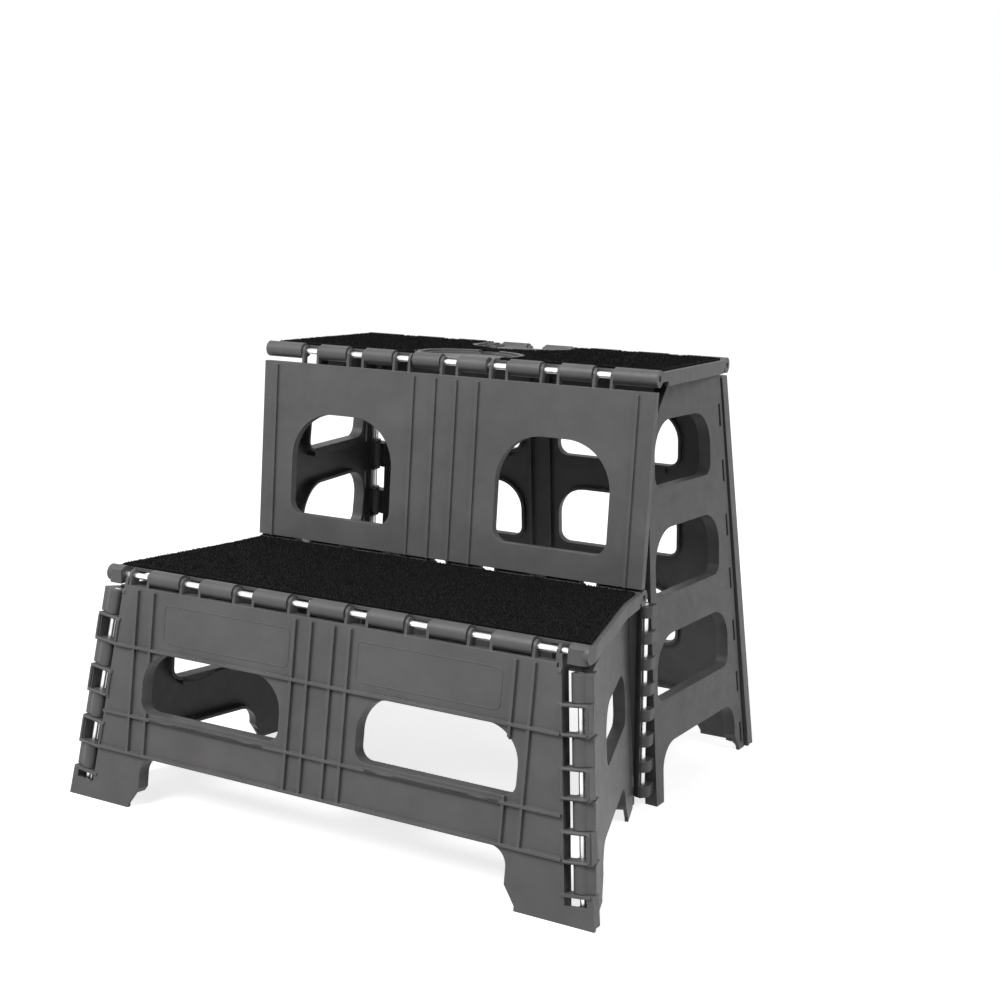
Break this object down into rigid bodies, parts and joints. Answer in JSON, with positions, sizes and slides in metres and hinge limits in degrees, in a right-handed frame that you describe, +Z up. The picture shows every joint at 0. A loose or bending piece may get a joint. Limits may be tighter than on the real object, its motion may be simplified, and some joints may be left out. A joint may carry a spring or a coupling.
{
  "type": "folding pet stairs",
  "caption": "Two-step folding pet stairs in grey moulded plastic, with carpeted treads, slotted folding panels, pull-up handles and steel hinge rods.",
  "frame": {"origin": "middle of the bounding box at floor level", "axes": "X is the width across the steps, +Y points from the front to the back, Z is up; the front faces -Y"},
  "size_m": [0.518, 0.4642, 0.4015],
  "materials": {
    "grey_plastic": "fine-grained moulded polypropylene, mid grey",
    "carpet": "short black needled pile",
    "steel_rod": "bright drawn steel"
  },
  "bodies": {
    "base": {"back_panel": "grey_plastic", "rod_rear_left": "steel_rod", "rod_rear_right": "steel_rod", "rod_upper_rear": "steel_rod"},
    "upper_step": {"upper_tread": "grey_plastic", "upper_carpet": "carpet", "rod_upper_front": "steel_rod"},
    "riser": {"upper_riser": "grey_plastic", "rod_lower_rear": "steel_rod"},
    "lower_step": {"lower_tread": "grey_plastic", "lower_carpet": "carpet", "rod_lower_front": "steel_rod"},
    "front": {"front_panel": "grey_plastic", "rod_front_left": "steel_rod", "rod_front_right": "steel_rod"},
    "low_right": {"low_side_right": "grey_plastic"},
    "low_left": {"low_side_left": "grey_plastic"},
    "tall_right": {"tall_side_right": "grey_plastic", "rod_middle_right": "steel_rod"},
    "tall_left": {"tall_side_left": "grey_plastic", "rod_middle_left": "steel_rod"},
    "front_grip": {"front_handle": "grey_plastic"},
    "rear_grip": {"rear_handle": "grey_plastic"}
  },
  "joints": [
    {"name": "upper_fold", "type": "hinge", "parent": "base", "child": "upper_step", "pos_m": [0, 0.176, 0.3935], "axis": [-1, 0, 0], "range_deg": [0, 60]},
    {"name": "riser_fold", "type": "hinge", "parent": "upper_step", "child": "riser", "pos_m": [0, -0.0055, 0.3935], "axis": [-1, 0, 0], "range_deg": [-70, 0]},
    {"name": "lower_fold", "type": "hinge", "parent": "riser", "child": "lower_step", "pos_m": [0, -0.0158, 0.203], "axis": [-1, 0, 0], "range_deg": [-63, 0]},
    {"name": "front_fold", "type": "hinge", "parent": "lower_step", "child": "front", "pos_m": [0, -0.2, 0.203], "axis": [-1, 0, 0], "range_deg": [0, 59]},
    {"name": "low_right_fold", "type": "hinge", "parent": "front", "child": "low_right", "pos_m": [0.2356, -0.212, 0.1015], "axis": [-0.1109, 0.1167, 0.987], "range_deg": [0, 60]},
    {"name": "low_left_fold", "type": "hinge", "parent": "front", "child": "low_left", "pos_m": [-0.2356, -0.212, 0.1015], "axis": [-0.1109, -0.1167, -0.987], "range_deg": [0, 60]},
    {"name": "tall_right_fold", "type": "hinge", "parent": "base", "child": "tall_right", "pos_m": [0.209, 0.2, 0.19675], "axis": [0.0904, 0.1206, -0.9886], "range_deg": [0, 65]},
    {"name": "tall_left_fold", "type": "hinge", "parent": "base", "child": "tall_left", "pos_m": [-0.209, 0.2, 0.19675], "axis": [0.0904, -0.1206, 0.9886], "range_deg": [0, 65]},
    {"name": "front_handle_lift", "type": "hinge", "parent": "upper_step", "child": "front_grip", "pos_m": [0, -0.0055, 0.3935], "axis": [1, 0, 0], "range_deg": [0, 90]},
    {"name": "rear_handle_lift", "type": "hinge", "parent": "upper_step", "child": "rear_grip", "pos_m": [0, 0.176, 0.3935], "axis": [-1, 0, 0], "range_deg": [0, 90]}
  ],
  "couplings": [
    {"joint": "riser_fold", "follows": "upper_fold", "ratio": -1.16},
    {"joint": "lower_fold", "follows": "upper_fold", "ratio": -1.0371},
    {"joint": "front_fold", "follows": "upper_fold", "ratio": 0.972},
    {"joint": "low_right_fold", "follows": "upper_fold", "ratio": 0.9983},
    {"joint": "tall_right_fold", "follows": "upper_fold", "ratio": 1.0737},
    {"joint": "low_left_fold", "follows": "upper_fold", "ratio": 0.9983},
    {"joint": "tall_left_fold", "follows": "upper_fold", "ratio": 1.0737}
  ]
}
